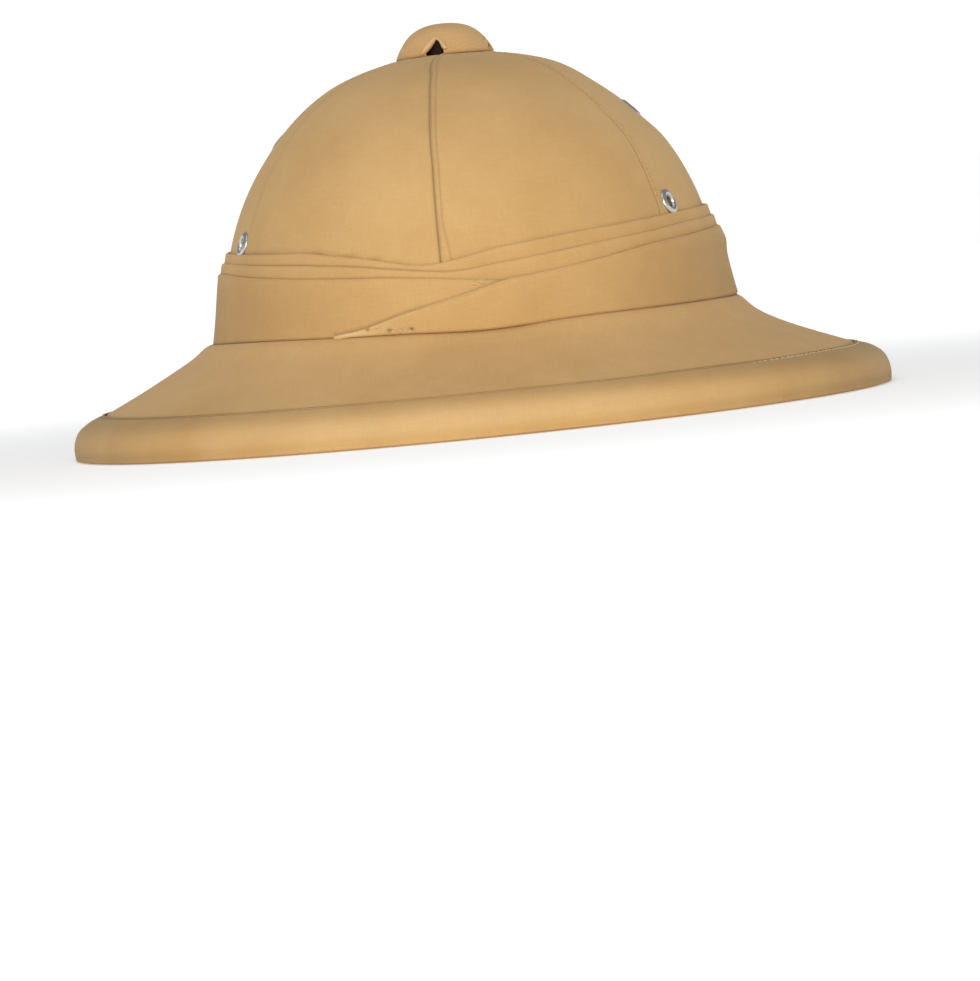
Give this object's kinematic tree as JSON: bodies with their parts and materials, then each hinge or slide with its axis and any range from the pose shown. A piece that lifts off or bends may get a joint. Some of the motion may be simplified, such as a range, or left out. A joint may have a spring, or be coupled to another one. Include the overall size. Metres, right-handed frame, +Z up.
{
  "type": "pith helmet",
  "caption": "Cloth-covered pith helmet: domed crown, sloping brim with bound rim, wound puggaree band, ventilator cap and metal eyelets; hollow and open below.",
  "frame": {"origin": "on the floor, under the centre of the rim", "axes": "+Z up, +Y towards the back of the hat, +X towards the wearer's left"},
  "size_m": [0.301, 0.336, 0.1477],
  "materials": {
    "pressed_board": "pressed pith and paper board, matt and slightly fibrous",
    "crown_twill": "tan cotton twill, matt",
    "brim_twill": "tan cotton twill stretched over the brim, matt",
    "binding_twill": "tan cotton twill binding, stitched in light thread",
    "puggaree_twill": "pleated tan cotton twill scarf, matt",
    "cap_twill": "tan cotton twill over a stiff cap",
    "nickel_plate": "bright nickel plate, a little tarnished"
  },
  "bodies": {
    "root": {"shell": "pressed_board", "crown_panel_1": "crown_twill", "crown_panel_2": "crown_twill", "crown_panel_3": "crown_twill", "crown_panel_4": "crown_twill", "crown_panel_5": "crown_twill", "crown_panel_6": "crown_twill", "brim_cover": "brim_twill", "brim_binding": "binding_twill", "puggaree_pleat_upper": "puggaree_twill", "puggaree_pleat_middle": "puggaree_twill", "puggaree_wrap": "puggaree_twill", "ventilator_cap": "cap_twill", "eyelet_1": "nickel_plate", "eyelet_2": "nickel_plate", "eyelet_3": "nickel_plate", "eyelet_4": "nickel_plate", "eyelet_5": "nickel_plate", "eyelet_6": "nickel_plate"}
  },
  "joints": []
}
